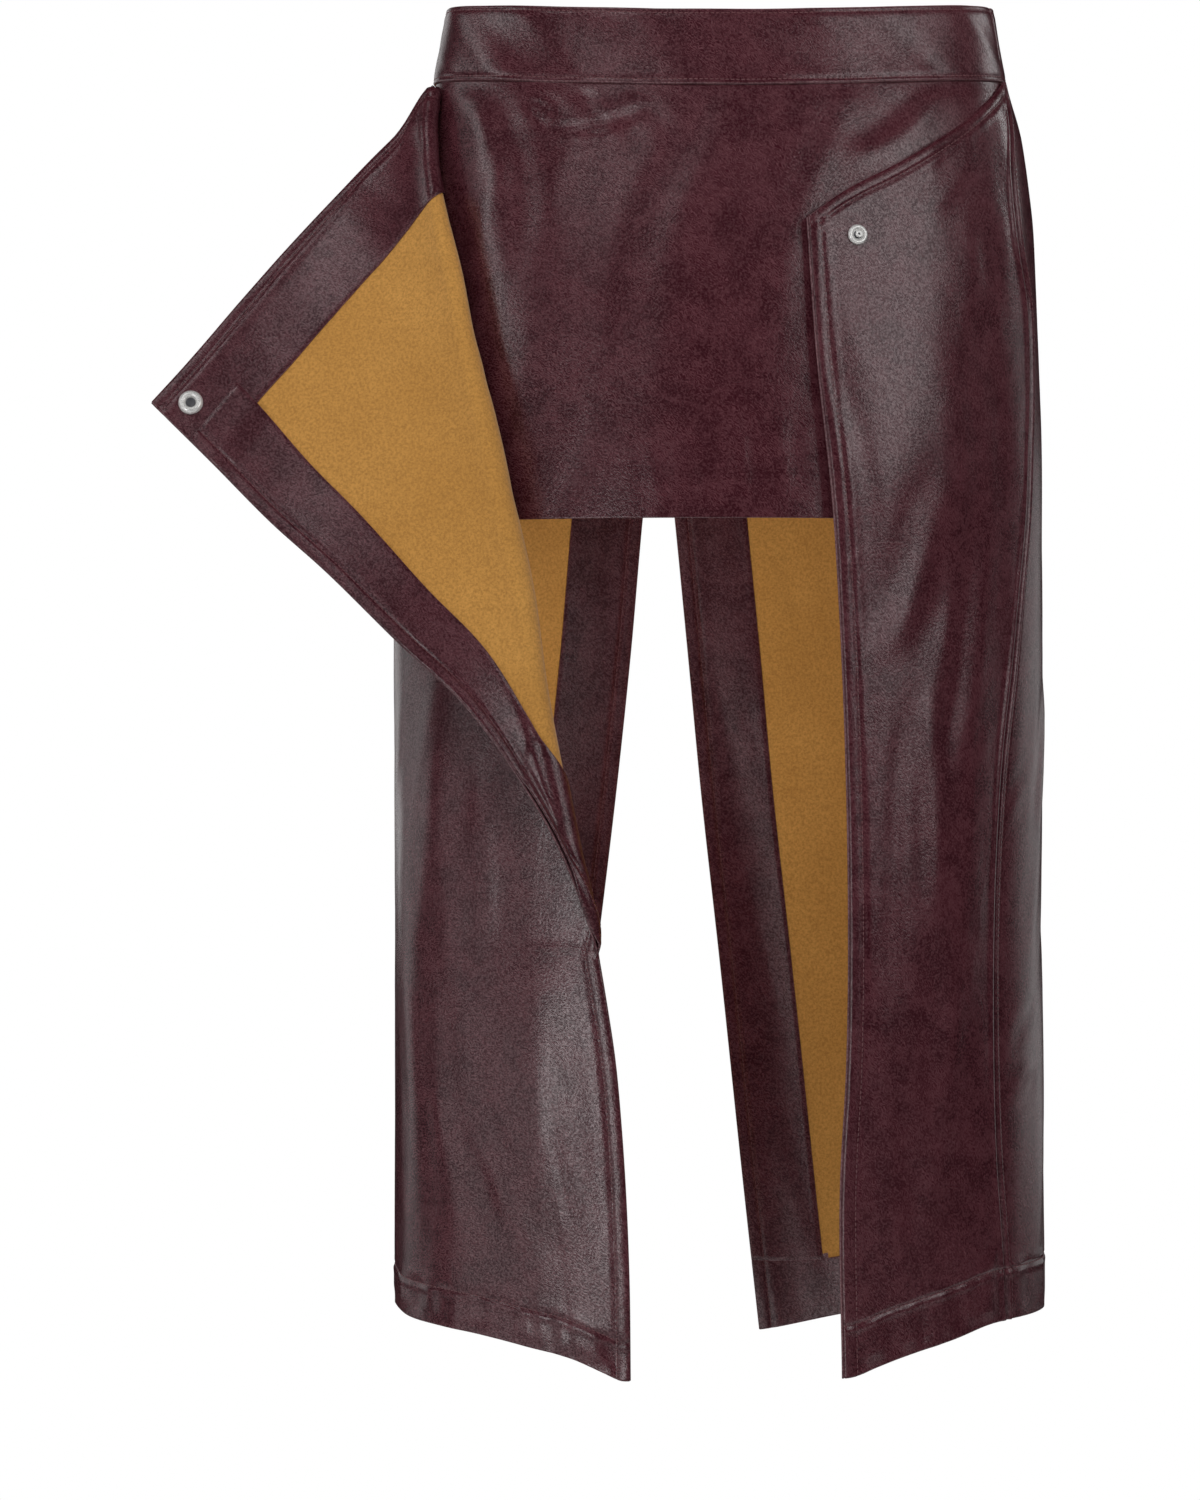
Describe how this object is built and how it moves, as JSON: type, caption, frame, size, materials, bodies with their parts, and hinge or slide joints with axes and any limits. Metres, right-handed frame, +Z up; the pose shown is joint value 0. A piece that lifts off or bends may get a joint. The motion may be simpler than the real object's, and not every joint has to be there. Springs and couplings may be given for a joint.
{
  "type": "leather wrap skirt",
  "caption": "Midi wrap skirt in glossy burgundy leather with a short front apron, one flap hanging closed, one folded open like a lapel, a press stud and a back slit.",
  "frame": {"origin": "centre of the waist opening, half way up the waistband", "axes": "+Z up, towards the waist; the front of the skirt faces -Y; +X is on the viewer's right, seen from the front"},
  "size_m": [0.5347, 0.2603, 0.82],
  "materials": {
    "burgundy_leather": "glossy, fine grain, tan flesh side",
    "snap_metal": "polished nickel"
  },
  "bodies": {
    "root": {"waistband_front": "burgundy_leather", "waistband_back": "burgundy_leather", "front_apron": "burgundy_leather", "right_flap": "burgundy_leather", "right_flap_top_facing": "burgundy_leather", "right_flap_edge_facing": "burgundy_leather", "right_flap_hem": "burgundy_leather", "left_flap": "burgundy_leather", "left_flap_top_facing": "burgundy_leather", "left_flap_edge_facing": "burgundy_leather", "left_flap_hem": "burgundy_leather", "back_left": "burgundy_leather", "back_left_vent_facing": "burgundy_leather", "back_left_hem": "burgundy_leather", "back_right": "burgundy_leather", "back_right_vent_facing": "burgundy_leather", "back_right_hem": "burgundy_leather", "snap_stud": "snap_metal", "snap_stud_base": "snap_metal", "snap_socket": "snap_metal", "snap_cap": "snap_metal"}
  },
  "joints": []
}
